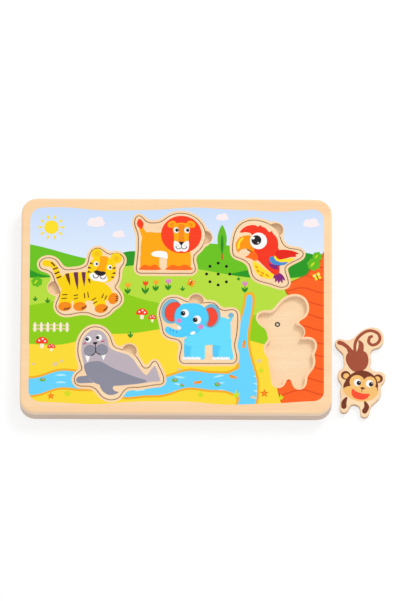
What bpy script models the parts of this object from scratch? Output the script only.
"""Wooden sound puzzle: a flat printed board with six animal pieces.

The board is a sandwich: a cut-out top panel, a thin floor panel, a hollow frame and a back panel.
Each animal sits in its own cut-out over a light sensor. The sensors, a sound board, a small
loudspeaker and a box for two AAA cells lie in the hollow frame. The monkey lies beside the board.

Origin: the middle of the board on the table. X runs along the board, Y away from the reader, Z up.
"""

import math

import bmesh
import bpy
from mathutils import Matrix, Vector

MM = 0.001
EMPTY_SIZE = 10 * MM

# Clearances
SEAT_GAP = 0.3 * MM
GLUE_LINE = 0.2 * MM
PIECE_GAP = 0.7 * MM
BORE_GAP = 0.3 * MM

# Board
BOARD_LENGTH = 300 * MM
BOARD_WIDTH = 220 * MM
BOARD_CORNER_RADIUS = 15 * MM
BACK_THICKNESS = 3.5 * MM
FLOOR_THICKNESS = 1.8 * MM
TOP_THICKNESS = 4.8 * MM
TOP_EDGE_ROUND = 2.0 * MM
BACK_EDGE_EASE = 1.2 * MM
FRAME_WALL = 12 * MM
RIB_WIDTH = 6 * MM
RIB_HEIGHT = 4 * MM
RIB_Y = 8 * MM

# Animal pieces
PIECE_THICKNESS = 4.9 * MM
PIECE_EDGE_EASE = 0.5 * MM
OUTLINE_STEPS = 2
NOTCH_RADIUS = 7.0 * MM
MONKEY_SPACE = 29.2 * MM
MONKEY_Y = -63.2 * MM
MONKEY_TURN = math.radians(-9)

# Light sensors
SENSOR_RADIUS = 2.4 * MM
SENSOR_DOME = 1.2 * MM
SENSOR_FLANGE_WIDTH = 0.7 * MM
SENSOR_FLANGE_THICKNESS = 0.8 * MM
SENSOR_LEG_RADIUS = 0.3 * MM
SENSOR_LEG_SPACING = 2.54 * MM
SENSOR_LEG_LENGTH = 2.2 * MM
DOME_STEPS = 3

# Loudspeaker
SPEAKER_X = 40.3 * MM
SPEAKER_Y = 32.6 * MM
SPEAKER_RADIUS = 16 * MM
SPEAKER_RIM_WIDTH = 3 * MM
SPEAKER_CUP_RADIUS = 9.9 * MM
SPEAKER_SHEET = 0.6 * MM
SPEAKER_DEPTH = 3.4 * MM
CONE_FILM = 0.3 * MM
CONE_EDGE_INSET = 1.4 * MM
CONE_NECK_RADIUS = 5.0 * MM
CONE_CAP_RADIUS = 3.5 * MM
SPEAKER_TAB_SPACING = 4.4 * MM
SPEAKER_TAB_ANGLE = math.radians(211)
GASKET_THICKNESS = 1.0 * MM
MAGNET_RADIUS = 7.5 * MM
MAGNET_THICKNESS = 1.6 * MM
SOUND_HOLE_RADIUS = 1.0 * MM
SOUND_HOLE_CIRCLE = 11.2 * MM
SOUND_HOLES = 8

# Battery box, cover and cells
BOX_X = 40 * MM
BOX_FROM_FRONT = 31 * MM
CELL_RADIUS = 5.25 * MM
CELL_LENGTH = 44.5 * MM
CELL_NUB_LENGTH = 0.9 * MM
CELL_NUB_RADIUS = 1.9 * MM
CELL_CRIMP = 0.4 * MM
CELL_SPACING = 11.2 * MM
CELL_SIDE_GAP = 0.6 * MM
CONTACT_SHEET = 0.4 * MM
CONTACT_WIDTH = 8.0 * MM
CONTACT_HEIGHT = 8.6 * MM
SPRING_LENGTH = 3.9 * MM
SPRING_WIRE_RADIUS = 0.25 * MM
SPRING_FOOT_RADIUS = 3.2 * MM
SPRING_TIP_RADIUS = 2.2 * MM
SPRING_TURNS = 3
SPRING_STEPS = 8
BOX_WALL = 1.6 * MM
BOX_CEILING = 0.8 * MM
BOX_BOSS_LENGTH = 6.6 * MM
BOX_CORNER_RADIUS = 2.5 * MM
COVER_LIFT = 0.3 * MM
COVER_THICKNESS = 1.2 * MM
COVER_LEDGE = 1.0 * MM
COVER_EDGE_EASE = 0.2 * MM
EAR_LENGTH = 8 * MM
EAR_WIDTH = 8 * MM
EAR_THICKNESS = 1.6 * MM

# Sound board, beside the battery box
CIRCUIT_SPACE = 3 * MM
CIRCUIT_LENGTH = 44 * MM
CIRCUIT_WIDTH = 30 * MM
CIRCUIT_THICKNESS = 1.2 * MM
CIRCUIT_CORNER_RADIUS = 1.5 * MM
CIRCUIT_SCREW_INSET = 4 * MM
CHIP_RADIUS = 5 * MM
CHIP_HEIGHT = 1.7 * MM
CHIP_PLACE = (4.4 * MM, -3 * MM, 0)
CAPACITOR_RADIUS = 2.5 * MM
CAPACITOR_HEIGHT = 4.6 * MM
CAPACITOR_PLACE = (-9.7 * MM, -3 * MM, 0)
LEAD_RADIUS = 0.7 * MM
PAD_PITCH = 5 * MM
PAD_DEPTH = 4 * MM
LEAD_BEND = 1.5 * MM

# Screws
WOOD_SCREW_HEAD = 3.0 * MM
WOOD_SCREW_HEAD_HEIGHT = 1.6 * MM
WOOD_SCREW_SHANK = 1.5 * MM
WOOD_SCREW_LENGTH = 10.0 * MM
WOOD_SCREW_INSET = 30 * MM
COVER_SCREW_HEAD = 1.9 * MM
COVER_SCREW_HEAD_HEIGHT = 0.9 * MM
COVER_SCREW_SHANK = 1.0 * MM
COVER_SCREW_LENGTH = 7.0 * MM
SMALL_SCREW_HEAD = 1.9 * MM
SMALL_SCREW_HEAD_HEIGHT = 1.2 * MM
SMALL_SCREW_SHANK = 1.0 * MM
SMALL_SCREW_BITE = 2.0 * MM
SCREW_STEPS = 12

# Shares of a screw head's radius and height, and of its shank's radius
HEAD_CROWN = 0.86
HEAD_EDGE = 0.15
SCREW_TIP = 0.3
RECESS_LENGTH = 1.1
RECESS_WIDTH = 0.32
RECESS_DEPTH = 0.45

# Battery box sizes, built up from the cells that it holds
BOX_Y = BOX_FROM_FRONT - BOARD_WIDTH / 2
BAY_WIDTH = CELL_SPACING + 2 * CELL_RADIUS + 2 * CELL_SIDE_GAP
BAY_LENGTH = CELL_LENGTH + SPRING_LENGTH + 2 * CONTACT_SHEET + 5 * SEAT_GAP
BOX_INNER_LENGTH = BAY_LENGTH + 2 * BOX_BOSS_LENGTH
BOX_INNER_WIDTH = BAY_WIDTH + 2 * COVER_LEDGE
BOX_LENGTH = BOX_INNER_LENGTH + 2 * BOX_WALL
BOX_WIDTH = BOX_INNER_WIDTH + 2 * BOX_WALL
COVER_TOP = COVER_LIFT + COVER_THICKNESS
CELL_AXIS = COVER_TOP + SEAT_GAP + CELL_RADIUS
BAY_TOP = CELL_AXIS + CELL_RADIUS + SEAT_GAP
BOX_TOP = BAY_TOP + BOX_CEILING

# Levels of the board, from the table up. The hollow is as deep as the battery box needs.
BACK_TOP = BACK_THICKNESS
FRAME_LOW = BACK_TOP + GLUE_LINE
TOP_LOW = BOX_TOP + SEAT_GAP
FLOOR_TOP = TOP_LOW - GLUE_LINE
FLOOR_LOW = FLOOR_TOP - FLOOR_THICKNESS
FRAME_TOP = FLOOR_LOW - GLUE_LINE
BOARD_TOP = TOP_LOW + TOP_THICKNESS
SEATED_PIECE_LOW = FLOOR_TOP + SEAT_GAP
ON_BACK = BACK_TOP + SEAT_GAP
CIRCUIT_TOP = ON_BACK + CIRCUIT_THICKNESS
SENSOR_FOOT = FLOOR_LOW - BORE_GAP - SENSOR_FLANGE_THICKNESS - SENSOR_LEG_LENGTH
GASKET_LOW = FLOOR_LOW - SEAT_GAP - GASKET_THICKNESS
SPEAKER_RIM_TOP = GASKET_LOW - SEAT_GAP
SPEAKER_RIM_LOW = SPEAKER_RIM_TOP - SPEAKER_SHEET

# Each animal: where its middle sits on the board, its finger notch and its light sensor (both from
# that middle), and the outline halfway between the piece and its cut-out. All in millimetres.
ANIMALS = {
    "tiger": {
        "seat": (-90, 20),
        "notch": (-27, -2),
        "sensor": (0, 0),
        "outline": [
            (-42.3, 22.9), (-39.6, 27.0), (-33.0, 28.7), (-26.4, 26.4), (-22.0, 20.3), (-18.0, 16.8),
            (-10.0, 16.9), (-1.0, 18.4), (3.8, 22.0), (5.4, 29.2), (8.2, 36.2), (15.0, 38.9),
            (20.6, 35.2), (25.4, 32.6), (32.6, 33.7), (38.4, 30.2), (39.2, 23.8), (35.6, 18.0),
            (35.0, 10.0), (33.4, 3.2), (30.8, -0.8), (34.2, -5.8), (37.2, -12.0), (35.4, -18.6),
            (29.3, -22.9), (24.8, -28.0), (18.6, -31.0), (12.0, -30.4), (5.0, -27.6), (-6.0, -28.0),
            (-16.6, -29.9), (-23.6, -26.8), (-26.2, -20.6), (-24.0, -13.6), (-22.2, -7.4),
            (-27.2, 4.6), (-30.4, 12.8), (-35.6, 16.0), (-40.6, 17.6),
        ],
    },
    "lion": {
        "seat": (0, 60),
        "notch": (27.2, 10.2),
        "sensor": (-4, -4),
        "outline": [
            (-38.4, -18.0), (-37.4, -8.0), (-37.0, 4.0), (-37.6, 14.2), (-40.3, 21.6), (-40.4, 28.0),
            (-37.2, 32.3), (-33.2, 30.6), (-29.4, 26.4), (-22.0, 24.9), (-14.6, 26.6), (-9.0, 30.8),
            (-3.0, 33.9), (5.0, 35.0), (13.6, 33.1), (20.7, 28.4), (25.8, 21.3), (27.9, 13.4),
            (26.8, 5.4), (22.6, -2.4), (17.2, -8.0), (16.6, -15.4), (18.4, -22.6), (15.6, -26.6),
            (10.0, -26.9), (-30.0, -26.9), (-36.2, -26.6), (-38.6, -23.8),
        ],
    },
    "parrot": {
        "seat": (85, 55),
        "notch": (10.8, 23.4),
        "sensor": (-4, -2),
        "outline": [
            (-31.0, 2.7), (-30.6, 11.0), (-28.8, 19.8), (-24.4, 27.8), (-18.0, 32.0), (-10.6, 33.4),
            (-2.0, 32.0), (7.0, 27.6), (13.0, 21.2), (15.6, 14.0), (18.6, 7.8), (24.0, 4.4),
            (32.4, 3.3), (37.0, 0.4), (36.6, -4.0), (31.4, -7.6), (24.6, -11.2), (19.9, -15.4),
            (20.6, -21.2), (22.6, -28.0), (22.8, -32.6), (19.6, -35.3), (13.6, -35.4), (6.6, -32.6),
            (-2.4, -30.2), (-8.6, -27.4), (-12.2, -22.2), (-13.6, -15.4), (-17.2, -9.6),
            (-24.6, -5.9), (-29.6, -3.4),
        ],
    },
    "walrus": {
        "seat": (-60, -60),
        "notch": (15.2, 13.8),
        "sensor": (-2, 0),
        "outline": [
            (-16.8, 38.2), (-23.8, 36.8), (-29.4, 32.0), (-33.2, 24.4), (-34.6, 15.8), (-33.6, 6.6),
            (-31.4, -0.6), (-30.8, -5.8), (-34.8, -9.0), (-37.6, -14.6), (-36.4, -20.0),
            (-31.6, -22.4), (-24.0, -22.6), (-17.4, -25.0), (-13.0, -30.6), (-8.6, -34.6),
            (-1.0, -36.3), (5.8, -33.6), (9.2, -28.2), (13.8, -24.2), (23.6, -23.6), (40.0, -20.8),
            (46.4, -20.0), (48.4, -17.0), (47.2, -10.0), (43.6, -2.0), (40.2, 3.4), (37.0, 1.8),
            (34.6, -2.4), (29.8, -3.6), (26.4, 0.6), (22.2, 7.6), (14.4, 13.2), (1.8, 17.0),
            (-1.2, 20.6), (-3.4, 27.6), (-9.4, 35.6),
        ],
    },
    "elephant": {
        "seat": (20, -25),
        "notch": (-0.7, 30.2),
        "sensor": (0, 0),
        "outline": [
            (-30.8, 30.8), (-24.6, 33.6), (-17.8, 33.0), (-11.0, 29.8), (-4.0, 28.4), (4.0, 27.8),
            (12.1, 28.6), (17.8, 27.0), (22.0, 22.0), (27.6, 20.4), (34.6, 21.4), (38.4, 18.8),
            (39.3, 12.6), (38.9, 2.0), (37.8, -7.0), (36.3, -15.0), (37.6, -22.0), (38.6, -29.0),
            (35.6, -33.4), (30.0, -33.8), (-8.0, -33.9), (-13.6, -33.7), (-16.4, -30.4),
            (-15.9, -23.0), (-14.6, -15.6), (-17.6, -10.2), (-25.2, -8.4), (-31.4, -4.4),
            (-33.4, 2.2), (-34.6, 9.0), (-36.2, 16.4), (-34.6, 24.4),
        ],
    },
    "monkey": {
        "seat": (110, -38.2),
        "notch": (6.4, 12.0),
        "sensor": (-12.4, 21.3),
        "outline": [
            (-30.9, 25.5), (-29.3, 30.1), (-25.1, 31.5), (-19.9, 31.1), (-15.1, 33.2),
            (-11.2, 38.2), (-5.7, 44.4), (0.4, 47.7), (6.8, 48.1), (12.4, 45.2), (15.2, 39.6),
            (15.2, 33.2), (12.4, 28.2), (6.8, 25.1), (5.2, 21.6), (7.0, 14.1), (7.1, 8.1),
            (10.4, 4.4), (17.0, 4.6), (21.8, 2.7), (23.3, -1.9), (22.0, -6.9), (20.3, -10.0),
            (21.5, -16.4), (20.5, -23.4), (14.6, -31.1), (13.5, -36.7), (12.7, -42.1), (8.9, -44.6),
            (5.1, -43.2), (3.1, -35.9), (-0.6, -33.2), (-5.0, -34.1), (-7.3, -40.3), (-11.2, -43.2),
            (-15.1, -41.5), (-16.2, -34.7), (-16.8, -28.0), (-18.5, -21.2), (-18.3, -14.7),
            (-21.6, -10.8), (-23.3, -5.3), (-22.0, -0.4), (-18.9, 2.5), (-19.7, 8.7), (-21.6, 15.8),
            (-27.0, 20.1),
        ],
    },
}

# The leads' turns between a sensor or the speaker and the sound board, seen from above, in
# millimetres. Their pads lie side by side at the sound board's rear edge, in the order listed.
LEAD_TURNS = {
    "walrus": [(-58, -57), (-50, -54)],
    "tiger": [(-84, 2), (-62, -30), (-43, -52)],
    "lion": [(-12, 30), (-28, -10), (-37, -46)],
    "speaker_minus": [(22, 24), (-4, 0), (-24, -34), (-31, -52)],
    "speaker_plus": [(24, 18), (0, -4), (-18, -34), (-26, -52)],
    "parrot": [(70, 22), (48, 4), (14, -8), (-12, -36), (-20, -52)],
    "elephant": [(10, -36), (-8, -48), (-15, -54)],
    "monkey": [(80, -34), (40, -48), (4, -54), (-9, -57)],
}

MATERIALS = {
    "birch": ((0.95, 0.74, 0.52), 0.6, 0.0),
    "floor_wood": ((0.98, 0.76, 0.55), 0.6, 0.0),
    "tiger_paint": ((0.98, 0.72, 0.02), 0.5, 0.0),
    "lion_paint": ((1.0, 0.40, 0.02), 0.5, 0.0),
    "parrot_paint": ((0.90, 0.06, 0.02), 0.5, 0.0),
    "walrus_paint": ((0.50, 0.43, 0.50), 0.5, 0.0),
    "elephant_paint": ((0.10, 0.62, 1.0), 0.5, 0.0),
    "monkey_paint": ((0.37, 0.09, 0.04), 0.5, 0.0),
    "white_plastic": ((0.85, 0.85, 0.85), 0.4, 0.0),
    "clear_plastic": ((0.75, 0.76, 0.74), 0.2, 0.0),
    "steel": ((0.62, 0.62, 0.64), 0.3, 1.0),
    "circuit_green": ((0.02, 0.20, 0.08), 0.4, 0.0),
    "black_resin": ((0.02, 0.02, 0.02), 0.4, 0.0),
    "cell_wrap": ((0.05, 0.05, 0.06), 0.35, 0.0),
    "foam": ((0.05, 0.05, 0.05), 0.9, 0.0),
    "cone_film": ((0.75, 0.75, 0.72), 0.3, 0.0),
    "red_wire": ((0.70, 0.03, 0.02), 0.4, 0.0),
    "black_wire": ((0.02, 0.02, 0.02), 0.4, 0.0),
    "grey_wire": ((0.45, 0.45, 0.47), 0.4, 0.0),
}


# Scene and materials

def start_scene():
    """Empties the scene and makes one collection for the parts and one for the cutters."""
    for old in list(bpy.data.objects):
        bpy.data.objects.remove(old, do_unlink=True)
    made = []
    for name in ("wooden_sound_puzzle", "cutters"):
        collection = bpy.data.collections.new(name)
        bpy.context.scene.collection.children.link(collection)
        made.append(collection)
    return made


def make_material(name, colour, roughness, metallic):
    material = bpy.data.materials.new(name)
    material.use_nodes = True
    shader = material.node_tree.nodes["Principled BSDF"]
    shader.inputs["Base Color"].default_value = (*colour, 1.0)
    shader.inputs["Roughness"].default_value = roughness
    shader.inputs["Metallic"].default_value = metallic
    return material


parts, cutters = start_scene()
materials = {name: make_material(name, *values) for name, values in MATERIALS.items()}


def place(obj, location, parent=None, rotation=(0, 0, 0)):
    obj.location = location
    obj.rotation_euler = rotation
    obj.parent = parent
    return obj


def as_part(obj, material):
    """Shows the object as one piece of the puzzle, in its material."""
    parts.objects.link(obj)
    if not obj.data.materials:
        obj.data.materials.append(materials[material])
    obj.data.shade_smooth()
    obj.data.set_sharp_from_angle(angle=math.radians(35))
    return obj


def as_tool(obj):
    """Keeps the object as a hidden shape that others are cut or joined with."""
    cutters.objects.link(obj)
    obj.hide_render = True
    obj.display_type = "WIRE"
    return obj


def add_empty(name, location):
    empty = bpy.data.objects.new(name, None)
    empty.empty_display_size = EMPTY_SIZE
    empty.location = location
    parts.objects.link(empty)
    return empty


def combine(target, tool, operation):
    modifier = target.modifiers.new(tool.name, "BOOLEAN")
    modifier.operation = operation
    modifier.object = tool


def cut(target, tool):
    combine(target, tool, "DIFFERENCE")


def join(target, tool):
    combine(target, tool, "UNION")


# Shapes

def new_object(name, work):
    """A mesh object from a bmesh, which is freed."""
    mesh = bpy.data.meshes.new(name)
    work.to_mesh(mesh)
    work.free()
    return bpy.data.objects.new(name, mesh)


def mesh_of(obj):
    """The object's mesh with its modifiers or its curve worked in. The object itself is removed."""
    if not obj.users_collection:
        bpy.context.scene.collection.objects.link(obj)
    graph = bpy.context.evaluated_depsgraph_get()
    mesh = bpy.data.meshes.new_from_object(obj.evaluated_get(graph))
    mesh.name = obj.name
    bpy.data.objects.remove(obj, do_unlink=True)
    return mesh


def curve_object(name, curve):
    """A closed mesh object from a curve, with its caps welded to its sides."""
    work = bmesh.new()
    work.from_mesh(mesh_of(bpy.data.objects.new(name, curve)))
    bmesh.ops.remove_doubles(work, verts=work.verts, dist=0.001 * MM)
    bmesh.ops.recalc_face_normals(work, faces=work.faces)
    return new_object(name, work)


def bezier_through(curve, points):
    """Adds one smooth spline through the points."""
    spline = curve.splines.new("BEZIER")
    spline.bezier_points.add(len(points) - 1)
    for knot, point in zip(spline.bezier_points, points):
        knot.co = (*point, 0)[:3]
        knot.handle_left_type = "AUTO"
        knot.handle_right_type = "AUTO"
    return spline


def line_through(curve, points):
    """Adds one spline of straight lines through the points."""
    spline = curve.splines.new("POLY")
    spline.points.add(len(points) - 1)
    for knot, point in zip(spline.points, points):
        knot.co = (*(*point, 0)[:3], 1)
    return spline


def slab(name, loops, low, high, grow=0.0, ease=0.0, smooth=False):
    """A flat slab between two levels with the given closed outlines: the outer one, then its holes.
    grow moves the outline outwards and ease chamfers both rims."""
    curve = bpy.data.curves.new(name, "CURVE")
    curve.dimensions = "2D"
    curve.fill_mode = "BOTH"
    curve.resolution_u = OUTLINE_STEPS
    curve.extrude = (high - low) / 2 - ease
    curve.bevel_depth = ease
    curve.bevel_resolution = 0
    curve.offset = grow - ease
    for points in loops:
        spline = bezier_through(curve, points) if smooth else line_through(curve, points)
        spline.use_cyclic_u = True
    obj = curve_object(name, curve)
    obj.data.transform(Matrix.Translation((0, 0, (low + high) / 2)))
    return obj


def rounded_rectangle(length, width, radius, steps=5):
    """Corner arcs of a rectangle centred on the origin, anticlockwise."""
    points = []
    for quarter, (side_x, side_y) in enumerate(((1, 1), (-1, 1), (-1, -1), (1, -1))):
        centre_x = side_x * (length / 2 - radius)
        centre_y = side_y * (width / 2 - radius)
        for step in range(steps + 1):
            angle = math.radians(90) * (quarter + step / steps)
            points.append((centre_x + radius * math.cos(angle), centre_y + radius * math.sin(angle)))
    return points


def soften_rim(obj, level, width, segments):
    """Rounds the rim of a slab at the given level."""
    work = bmesh.new()
    work.from_mesh(obj.data)
    rim = [
        edge
        for edge in work.edges
        if all(abs(corner.co.z - level) < 0.001 * MM for corner in edge.verts)
        and edge.calc_face_angle(0.0) > math.radians(60)
    ]
    bmesh.ops.bevel(
        work, geom=rim, offset=width, segments=segments, affect="EDGES", profile=0.5, material=-1
    )
    work.to_mesh(obj.data)
    work.free()


def cylinder(name, radius, low, high, steps=16):
    """A cylinder about Z between two levels."""
    work = bmesh.new()
    centre = Matrix.Translation((0, 0, (low + high) / 2))
    bmesh.ops.create_cone(
        work, cap_ends=True, segments=steps, radius1=radius, radius2=radius, depth=high - low,
        matrix=centre,
    )
    return new_object(name, work)


def block(name, length, width, low, high):
    """A box about Z between two levels."""
    work = bmesh.new()
    size = Matrix.Diagonal((length, width, high - low, 1))
    bmesh.ops.create_cube(work, size=1, matrix=Matrix.Translation((0, 0, (low + high) / 2)) @ size)
    return new_object(name, work)


def turned(name, profile, steps=16):
    """A turned solid about Z from (radius, height) points, listed down its outer side. A profile that
    doesn't start on the axis is closed into a ring."""
    work = bmesh.new()
    corners = [work.verts.new((radius, 0, height)) for radius, height in profile]
    for first, second in zip(corners, corners[1:]):
        work.edges.new((first, second))
    if profile[0][0] > 0:
        work.edges.new((corners[-1], corners[0]))
    obj = new_object(name, work)
    screw = obj.modifiers.new("turn", "SCREW")
    screw.axis = "Z"
    screw.steps = steps
    screw.render_steps = steps
    screw.use_merge_vertices = True
    screw.merge_threshold = 0.001 * MM
    return obj


def wire(name, points, radius, smooth=True):
    """A round wire through the points, or on the smooth curve that they steer."""
    curve = bpy.data.curves.new(name, "CURVE")
    curve.dimensions = "3D"
    curve.resolution_u = 3
    curve.bevel_depth = radius
    curve.bevel_resolution = 1
    curve.use_fill_caps = True
    spline = line_through(curve, points)
    if smooth:
        spline.type = "NURBS"
        spline.order_u = 3
        spline.use_endpoint_u = True
    return curve_object(name, curve)


def drill(target, name, radius, low, high, location, parent=None, steps=12):
    """Cuts an upright round hole between two levels."""
    cut(target, as_tool(place(cylinder(name, radius, low, high, steps), location, parent)))


# Screws

def screw_profile(head, head_height, shank, length, countersunk, gap=0.0):
    """A screw that stands on its head at z = 0, from its tip down. With a gap, it is the hole for it."""
    if countersunk:
        edge, face, under = HEAD_EDGE * head_height + gap, head, head_height + gap
    else:
        edge, face, under = head_height, HEAD_CROWN * head, head_height
    return [
        (0, length + gap),
        (SCREW_TIP * shank + gap, length + gap),
        (shank + gap, length - 2 * shank + gap),
        (shank + gap, under),
        (head + gap, edge),
        (face + gap, -2 * gap),
        (0, -2 * gap),
    ]


def screw_body(name, head, head_height, shank, length, countersunk):
    """The mesh of one screw. A countersunk one is seen from below, and has a cross recess in its head."""
    profile = screw_profile(head, head_height, shank, length, countersunk)
    screw = turned(name, profile, steps=SCREW_STEPS)
    long_side, short_side = RECESS_LENGTH * head, RECESS_WIDTH * head
    for bar_length, bar_width in ((long_side, short_side), (short_side, long_side)):
        if countersunk:
            depth = RECESS_DEPTH * head_height
            bar = block(name + "_recess", bar_length, bar_width, -head_height, depth)
            cut(screw, as_tool(bar))
    return mesh_of(screw)


def add_screw(name, mesh, location, parent=None, head_up=False):
    screw = as_part(bpy.data.objects.new(name, mesh), "steel")
    return place(screw, location, parent, (math.pi if head_up else 0, 0, 0))


# Board layers

def make_board_layers():
    """The four glued layers, with the frame's stiffening rib."""
    outline = rounded_rectangle(BOARD_LENGTH, BOARD_WIDTH, BOARD_CORNER_RADIUS)
    inner_length = BOARD_LENGTH - 2 * FRAME_WALL
    inner_width = BOARD_WIDTH - 2 * FRAME_WALL
    inner_radius = max(BOARD_CORNER_RADIUS - FRAME_WALL, 2 * MM)
    inner = rounded_rectangle(inner_length, inner_width, inner_radius, steps=3)
    back = slab("back_panel", [outline], 0, BACK_TOP)
    soften_rim(back, 0, BACK_EDGE_EASE, segments=2)
    frame = slab("base_frame", [outline, inner], FRAME_LOW, FRAME_TOP)
    floor = slab("floor_panel", [outline], FLOOR_LOW, FLOOR_TOP)
    top = slab("top_panel", [outline], TOP_LOW, BOARD_TOP)
    soften_rim(top, BOARD_TOP, TOP_EDGE_ROUND, segments=3)
    layers = {layer.name: layer for layer in (back, frame, floor, top)}
    for name, layer in layers.items():
        as_part(layer, "floor_wood" if name == "floor_panel" else "birch")
    rib_length = inner_length + FRAME_WALL
    rib = block("frame_rib", rib_length, RIB_WIDTH, FRAME_TOP - RIB_HEIGHT, FRAME_TOP)
    join(frame, as_tool(place(rib, (0, RIB_Y, 0))))
    return layers


def add_back_screws(layers):
    """Six countersunk screws through the back panel into the frame's walls."""
    sizes = (WOOD_SCREW_HEAD, WOOD_SCREW_HEAD_HEIGHT, WOOD_SCREW_SHANK, WOOD_SCREW_LENGTH, True)
    mesh = screw_body("wood_screw", *sizes)
    side_x = (BOARD_LENGTH - FRAME_WALL) / 2
    side_y = (BOARD_WIDTH - FRAME_WALL) / 2
    row_x = BOARD_LENGTH / 2 - WOOD_SCREW_INSET
    spots = {
        "front_left": (-row_x, -side_y), "front_right": (row_x, -side_y), "left": (-side_x, 0),
        "right": (side_x, 0), "rear_left": (-row_x, side_y), "rear_right": (row_x, side_y),
    }
    for name, (x, y) in spots.items():
        location = (x, y, COVER_LIFT)
        add_screw(f"back_screw_{name}", mesh, location)
        profile = screw_profile(*sizes, gap=BORE_GAP)
        hole = turned(f"back_screw_hole_{name}", profile, steps=SCREW_STEPS)
        as_tool(place(hole, location))
        cut(layers["back_panel"], hole)
        cut(layers["base_frame"], hole)


# Animal pieces

def on_board(animal, feature=None):
    """The place on the board of the animal's middle, or of a feature measured from it."""
    x, y = ANIMALS[animal]["seat"]
    if feature:
        dx, dy = ANIMALS[animal][feature]
        x, y = x + dx, y + dy
    return Vector((x * MM, y * MM, 0))


def make_animal(animal, top_panel):
    """One piece, and the cut-out with its finger notch that the piece drops into."""
    outline = [(x * MM, y * MM) for x, y in ANIMALS[animal]["outline"]]
    low = TOP_LOW - SEAT_GAP
    high = BOARD_TOP + SEAT_GAP
    well = slab(animal + "_well", [outline], low, high, grow=PIECE_GAP / 2, smooth=True)
    cut(top_panel, as_tool(place(well, on_board(animal))))
    notch_at = on_board(animal, "notch")
    drill(top_panel, animal + "_notch", NOTCH_RADIUS, low, high, notch_at, steps=28)
    name = animal + "_piece"
    ease = PIECE_EDGE_EASE
    piece = slab(name, [outline], 0, PIECE_THICKNESS, grow=-PIECE_GAP / 2, ease=ease, smooth=True)
    as_part(piece, animal + "_paint")
    if animal == "monkey":
        beside = Vector((BOARD_LENGTH / 2 + MONKEY_SPACE, MONKEY_Y, 0))
        place(piece, beside, rotation=(0, 0, MONKEY_TURN))
    else:
        place(piece, on_board(animal) + Vector((0, 0, SEATED_PIECE_LOW)))


# Light sensors

def make_sensor(animal, floor_panel):
    """A domed light sensor that looks up through the floor panel, with two legs below."""
    spot = on_board(animal, "sensor")
    quarter = [math.radians(90) * step / DOME_STEPS for step in range(DOME_STEPS + 1)]
    shoulder = FLOOR_THICKNESS - SENSOR_DOME
    flange = SENSOR_RADIUS + SENSOR_FLANGE_WIDTH
    profile = [
        *[(SENSOR_RADIUS * math.sin(a), shoulder + SENSOR_DOME * math.cos(a)) for a in quarter],
        (SENSOR_RADIUS, 0),
        (flange, 0),
        (flange, -SENSOR_FLANGE_THICKNESS),
        (0, -SENSOR_FLANGE_THICKNESS),
    ]
    sensor = as_part(turned(animal + "_light_sensor", profile, steps=12), "clear_plastic")
    place(sensor, spot + Vector((0, 0, FLOOR_LOW - BORE_GAP)))
    leg_low = -SENSOR_FLANGE_THICKNESS - SENSOR_LEG_LENGTH
    for side in (-1, 1):
        leg = cylinder(
            f"{animal}_sensor_leg", SENSOR_LEG_RADIUS, leg_low, -SENSOR_FLANGE_THICKNESS / 2, steps=5
        )
        join(sensor, as_tool(place(leg, (side * SENSOR_LEG_SPACING / 2, 0, 0), sensor)))
    hole = SENSOR_RADIUS + BORE_GAP
    low, high = FLOOR_LOW - SEAT_GAP, FLOOR_TOP + SEAT_GAP
    drill(floor_panel, animal + "_sensor_hole", hole, low, high, spot)


# Loudspeaker

def make_speaker(layers):
    """Foam gasket, sheet-metal basket, film cone and magnet under the ring of sound holes."""
    spot = Vector((SPEAKER_X, SPEAKER_Y, 0))
    speaker = add_empty("speaker", spot)
    throat = SPEAKER_RADIUS - SPEAKER_RIM_WIDTH
    cup = SPEAKER_CUP_RADIUS
    gasket_top, gasket_low = FLOOR_LOW - SEAT_GAP, GASKET_LOW
    rim_top, rim_low = SPEAKER_RIM_TOP, SPEAKER_RIM_LOW
    basket_low = rim_top - SPEAKER_DEPTH
    basket_floor = basket_low + SPEAKER_SHEET
    magnet_top = basket_low - SEAT_GAP
    gasket = [
        (throat, gasket_top), (SPEAKER_RADIUS, gasket_top),
        (SPEAKER_RADIUS, gasket_low), (throat, gasket_low),
    ]
    basket = [
        (0, basket_floor), (cup, basket_floor), (throat, rim_top), (SPEAKER_RADIUS, rim_top),
        (SPEAKER_RADIUS, rim_low), (throat + SPEAKER_SHEET, rim_low),
        (cup + SPEAKER_SHEET, basket_low), (0, basket_low),
    ]
    film = CONE_FILM
    cone_low = basket_floor + SEAT_GAP
    neck = CONE_NECK_RADIUS
    rim = throat - CONE_EDGE_INSET
    cone = [
        (0, cone_low + 3 * film), (CONE_CAP_RADIUS, cone_low + 2 * film), (neck, cone_low + film),
        (rim, rim_low + film), (rim, rim_low), (neck, cone_low), (0, cone_low),
    ]
    for name, profile, material in (
        ("speaker_gasket", gasket, "foam"),
        ("speaker_basket", basket, "steel"),
        ("speaker_cone", cone, "cone_film"),
    ):
        place(as_part(turned(name, profile, steps=20), material), (0, 0, 0), speaker)
    magnet_low = magnet_top - MAGNET_THICKNESS
    magnet = cylinder("speaker_magnet", MAGNET_RADIUS, magnet_low, magnet_top, steps=20)
    place(as_part(magnet, "steel"), (0, 0, 0), speaker)
    low, high = FLOOR_LOW - SEAT_GAP, FLOOR_TOP + SEAT_GAP
    drill(layers["floor_panel"], "speaker_mouth", throat, low, high, (0, 0, 0), speaker, steps=20)
    low, high = TOP_LOW - SEAT_GAP, BOARD_TOP + SEAT_GAP
    spots = [Vector((0, 0, 0))]
    for hole in range(SOUND_HOLES):
        angle = 2 * math.pi * hole / SOUND_HOLES
        spots.append(Vector((math.cos(angle), math.sin(angle), 0)) * SOUND_HOLE_CIRCLE)
    for number, at in enumerate(spots):
        name = f"sound_hole_{number}"
        drill(layers["top_panel"], name, SOUND_HOLE_RADIUS, low, high, at, speaker, steps=10)


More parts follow.
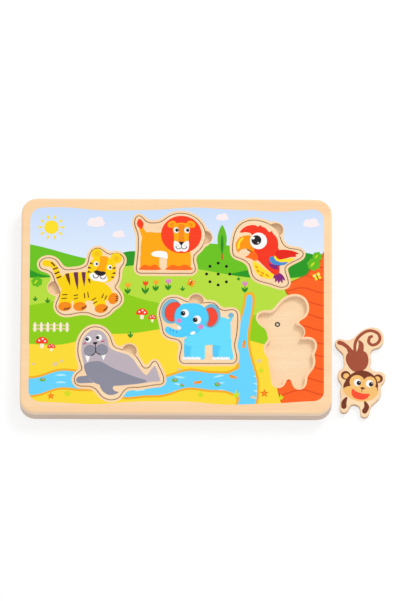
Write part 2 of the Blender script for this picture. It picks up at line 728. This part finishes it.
# Battery box

def make_battery_box(layers):
    """The plastic box that hangs in the back panel's opening on two screwed ears."""
    home = add_empty("battery_compartment", (BOX_X, BOX_Y, 0))
    walls = rounded_rectangle(BOX_LENGTH, BOX_WIDTH, BOX_CORNER_RADIUS, steps=4)
    box = as_part(slab("battery_box", [walls], COVER_LIFT, BOX_TOP), "white_plastic")
    place(box, (0, 0, 0), home)
    ear_top = ON_BACK + EAR_THICKNESS
    ears = block("box_ears", BOX_LENGTH + 2 * EAR_LENGTH, EAR_WIDTH, ON_BACK, ear_top)
    join(box, as_tool(place(ears, (0, 0, 0), home)))
    seat = rounded_rectangle(BOX_INNER_LENGTH, BOX_INNER_WIDTH, BOX_CORNER_RADIUS / 2, steps=3)
    recess = slab("cover_recess", [seat], COVER_LIFT - SEAT_GAP, COVER_TOP + SEAT_GAP)
    cut(box, as_tool(place(recess, (0, 0, 0), home)))
    bay = block("cell_bay", BAY_LENGTH, BAY_WIDTH, COVER_TOP, BAY_TOP)
    cut(box, as_tool(place(bay, (0, 0, 0), home)))
    for name, side in (("front", -1), ("rear", 1)):
        reach = BOX_BOSS_LENGTH + BOX_WALL + 2 * SEAT_GAP
        hole = cylinder(f"lead_hole_{name}", LEAD_RADIUS + BORE_GAP, 0, reach, steps=10)
        location = (-BAY_LENGTH / 2 + SEAT_GAP, side * CELL_SPACING / 2, CELL_AXIS)
        cut(box, as_tool(place(hole, location, home, (0, -math.pi / 2, 0))))
    opening = rounded_rectangle(BOX_LENGTH, BOX_WIDTH, BOX_CORNER_RADIUS, steps=4)
    for name, low, high in (("back_panel", 0, BACK_TOP), ("floor_panel", FLOOR_LOW, FLOOR_TOP)):
        cutter = slab(
            f"box_opening_{name}", [opening], low - SEAT_GAP, high + SEAT_GAP, grow=BORE_GAP
        )
        cut(layers[name], as_tool(place(cutter, (0, 0, 0), home)))
    return home, box


def add_box_screws(home, box, back_panel):
    """Two screws through the box's ears into the back panel."""
    ear_top = ON_BACK + EAR_THICKNESS
    head_face = ear_top + SEAT_GAP + SMALL_SCREW_HEAD_HEIGHT
    length = head_face - (BACK_TOP - SMALL_SCREW_BITE)
    mesh = small_screw_body("box_screw", length)
    for name, side in (("left", -1), ("right", 1)):
        at = (side * (BOX_LENGTH + EAR_LENGTH) / 2, 0, 0)
        add_screw(f"box_screw_{name}", mesh, (at[0], 0, head_face), home, head_up=True)
        fasten_down(f"box_screw_hole_{name}", box, ear_top, back_panel, at, home)


def small_screw_body(name, length):
    return screw_body(
        name, SMALL_SCREW_HEAD, SMALL_SCREW_HEAD_HEIGHT, SMALL_SCREW_SHANK, length, False
    )


def fasten_down(name, held, held_top, back_panel, at, parent):
    """The holes of a small screw that goes down through a held piece into the back panel."""
    hole = SMALL_SCREW_SHANK + BORE_GAP
    low = BACK_TOP - SMALL_SCREW_BITE - BORE_GAP
    drill(held, name, hole, ON_BACK - SEAT_GAP, held_top + SEAT_GAP, at, parent, steps=12)
    drill(back_panel, name + "_back", hole, low, BACK_TOP + SEAT_GAP, at, parent, steps=12)


def make_battery_cover(home, box):
    """The flush cover with its two countersunk screws, and the screws' holes in the box."""
    gap = BORE_GAP
    outline = rounded_rectangle(BOX_INNER_LENGTH, BOX_INNER_WIDTH, BOX_CORNER_RADIUS / 2, steps=3)
    cover = slab(
        "battery_cover", [outline], COVER_LIFT, COVER_TOP, grow=-gap, ease=COVER_EDGE_EASE
    )
    place(as_part(cover, "white_plastic"), (0, 0, 0), home)
    sizes = (
        COVER_SCREW_HEAD, COVER_SCREW_HEAD_HEIGHT, COVER_SCREW_SHANK, COVER_SCREW_LENGTH, True
    )
    mesh = screw_body("cover_screw", *sizes)
    for name, side in (("left", -1), ("right", 1)):
        location = (side * (BAY_LENGTH + BOX_BOSS_LENGTH) / 2, 0, COVER_LIFT)
        add_screw(f"cover_screw_{name}", mesh, location, home)
        profile = screw_profile(*sizes, gap=gap)
        hole = turned(f"cover_screw_hole_{name}", profile, steps=SCREW_STEPS)
        as_tool(place(hole, location, home))
        cut(cover, hole)
        cut(box, hole)


def make_cells_and_contacts(home):
    """Two AAA cells side by side, head to tail, with their springs and contact plates."""
    half = CELL_LENGTH / 2
    body = half - CELL_NUB_LENGTH
    cell_profile = [
        (0, half), (CELL_NUB_RADIUS, half), (CELL_NUB_RADIUS, body),
        (CELL_RADIUS - CELL_CRIMP, body), (CELL_RADIUS, body - CELL_CRIMP),
        (CELL_RADIUS, CELL_CRIMP - half), (CELL_RADIUS - CELL_CRIMP, -half), (0, -half),
    ]
    plate_x = BAY_LENGTH / 2 - SEAT_GAP - CONTACT_SHEET / 2
    nub_x = BAY_LENGTH / 2 - 2 * SEAT_GAP - CONTACT_SHEET
    for name, side in (("front", -1), ("rear", 1)):
        y = side * CELL_SPACING / 2
        cell = as_part(turned(f"battery_{name}", cell_profile), "cell_wrap")
        location = (side * (nub_x - half), y, CELL_AXIS)
        place(cell, location, home, (0, side * math.pi / 2, 0))
        coil = []
        rise = SPRING_LENGTH - 2 * SPRING_WIRE_RADIUS
        for step in range(SPRING_STEPS * SPRING_TURNS + 1):
            share = step / (SPRING_STEPS * SPRING_TURNS)
            radius = SPRING_FOOT_RADIUS + (SPRING_TIP_RADIUS - SPRING_FOOT_RADIUS) * share
            angle = 2 * math.pi * SPRING_TURNS * share
            height = SPRING_WIRE_RADIUS + rise * share
            coil.append((radius * math.cos(angle), radius * math.sin(angle), height))
        spring = wire(f"contact_spring_{name}", coil, SPRING_WIRE_RADIUS, smooth=False)
        as_part(spring, "steel")
        place(spring, (-side * nub_x, y, CELL_AXIS), home, (0, side * math.pi / 2, 0))
    low = CELL_AXIS - CONTACT_HEIGHT / 2
    for name, x, y, width in (
        ("positive_contact", -plate_x, -CELL_SPACING / 2, CONTACT_WIDTH),
        ("negative_contact", -plate_x, CELL_SPACING / 2, CONTACT_WIDTH),
        ("link_contact", plate_x, 0, CELL_SPACING + CONTACT_WIDTH),
    ):
        plate = block(name, CONTACT_SHEET, width, low, low + CONTACT_HEIGHT)
        place(as_part(plate, "steel"), (x, y, 0), home)


# Sound board and leads

def make_circuit(back_panel):
    """The sound board with its resin-capped chip and a capacitor, on two screws."""
    x = BOX_X - BOX_LENGTH / 2 - EAR_LENGTH - CIRCUIT_SPACE - CIRCUIT_LENGTH / 2
    home = add_empty("sound_board", (x, BOX_Y, 0))
    outline = rounded_rectangle(CIRCUIT_LENGTH, CIRCUIT_WIDTH, CIRCUIT_CORNER_RADIUS, steps=2)
    board = as_part(slab("circuit_board", [outline], ON_BACK, CIRCUIT_TOP), "circuit_green")
    place(board, (0, 0, 0), home)
    seat = CIRCUIT_TOP + SEAT_GAP
    quarter = [math.radians(90) * step / DOME_STEPS for step in range(DOME_STEPS + 1)]
    dome = [(CHIP_RADIUS * math.sin(a), seat + CHIP_HEIGHT * math.cos(a)) for a in quarter]
    chip = as_part(turned("sound_chip", [*dome, (0, seat)]), "black_resin")
    place(chip, CHIP_PLACE, home)
    capacitor = cylinder("capacitor", CAPACITOR_RADIUS, seat, seat + CAPACITOR_HEIGHT, steps=12)
    place(as_part(capacitor, "black_resin"), CAPACITOR_PLACE, home)
    head_face = seat + SMALL_SCREW_HEAD_HEIGHT
    length = head_face - (BACK_TOP - SMALL_SCREW_BITE)
    mesh = small_screw_body("board_screw", length)
    for name, side in (("left", -1), ("right", 1)):
        spot_x = side * (CIRCUIT_LENGTH / 2 - CIRCUIT_SCREW_INSET)
        spot_y = CIRCUIT_SCREW_INSET - CIRCUIT_WIDTH / 2
        add_screw(f"board_screw_{name}", mesh, (spot_x, spot_y, head_face), home, head_up=True)
        at = (spot_x, spot_y, 0)
        fasten_down(f"board_screw_hole_{name}", board, CIRCUIT_TOP, back_panel, at, home)
    return x


def make_leads(circuit_x):
    """Leads from the sensors and the speaker, which lie on the back panel and end on the sound board,
    and two from the battery contacts."""
    lying = ON_BACK + LEAD_RADIUS
    on_pad = CIRCUIT_TOP + SEAT_GAP + LEAD_RADIUS
    edge_y = BOX_Y + CIRCUIT_WIDTH / 2
    for number, (name, turns) in enumerate(LEAD_TURNS.items()):
        pad_x = circuit_x + (number - (len(LEAD_TURNS) - 1) / 2) * PAD_PITCH
        if name in ANIMALS:
            start = on_board(name, "sensor")
            foot = SENSOR_FOOT - SEAT_GAP
            drop = [(start.x, start.y, foot), (start.x, start.y, lying + LEAD_BEND)]
            lead_name, material = f"{name}_sensor_lead", "grey_wire"
        else:
            side = 1 if name == "speaker_plus" else -1
            rim_middle = SPEAKER_RADIUS - SPEAKER_RIM_WIDTH / 2
            start_x = SPEAKER_X + rim_middle * math.cos(SPEAKER_TAB_ANGLE)
            start_y = SPEAKER_Y + rim_middle * math.sin(SPEAKER_TAB_ANGLE)
            start_y -= side * SPEAKER_TAB_SPACING / 2
            drop = [(start_x, start_y, SPEAKER_RIM_LOW - SEAT_GAP - LEAD_RADIUS)]
            lead_name = name + "_lead"
            material = "red_wire" if side > 0 else "black_wire"
        run = [(x * MM, y * MM, lying) for x, y in turns]
        rise = [
            (pad_x, edge_y + 3 * LEAD_BEND, lying),
            (pad_x, edge_y + LEAD_BEND, on_pad),
            (pad_x, edge_y - PAD_DEPTH, on_pad),
        ]
        as_part(wire(lead_name, drop + run + rise, LEAD_RADIUS), material)
    start_x = BOX_X - BAY_LENGTH / 2 - SEAT_GAP
    pad_x = circuit_x + CIRCUIT_LENGTH / 2
    for name, side, material in (("positive", -1, "red_wire"), ("negative", 1, "black_wire")):
        y = BOX_Y + side * CELL_SPACING / 2
        box_side = BOX_X - BOX_LENGTH / 2
        route = [
            (start_x, y, CELL_AXIS), (box_side - LEAD_BEND, y, CELL_AXIS),
            (pad_x + LEAD_BEND, y, on_pad), (pad_x - PAD_DEPTH, y, on_pad),
        ]
        as_part(wire(f"battery_lead_{name}", route, LEAD_RADIUS), material)


def main():
    layers = make_board_layers()
    for animal in ANIMALS:
        make_animal(animal, layers["top_panel"])
        make_sensor(animal, layers["floor_panel"])
    make_speaker(layers)
    home, box = make_battery_box(layers)
    make_battery_cover(home, box)
    add_box_screws(home, box, layers["back_panel"])
    make_cells_and_contacts(home)
    make_leads(make_circuit(layers["back_panel"]))
    add_back_screws(layers)


main()
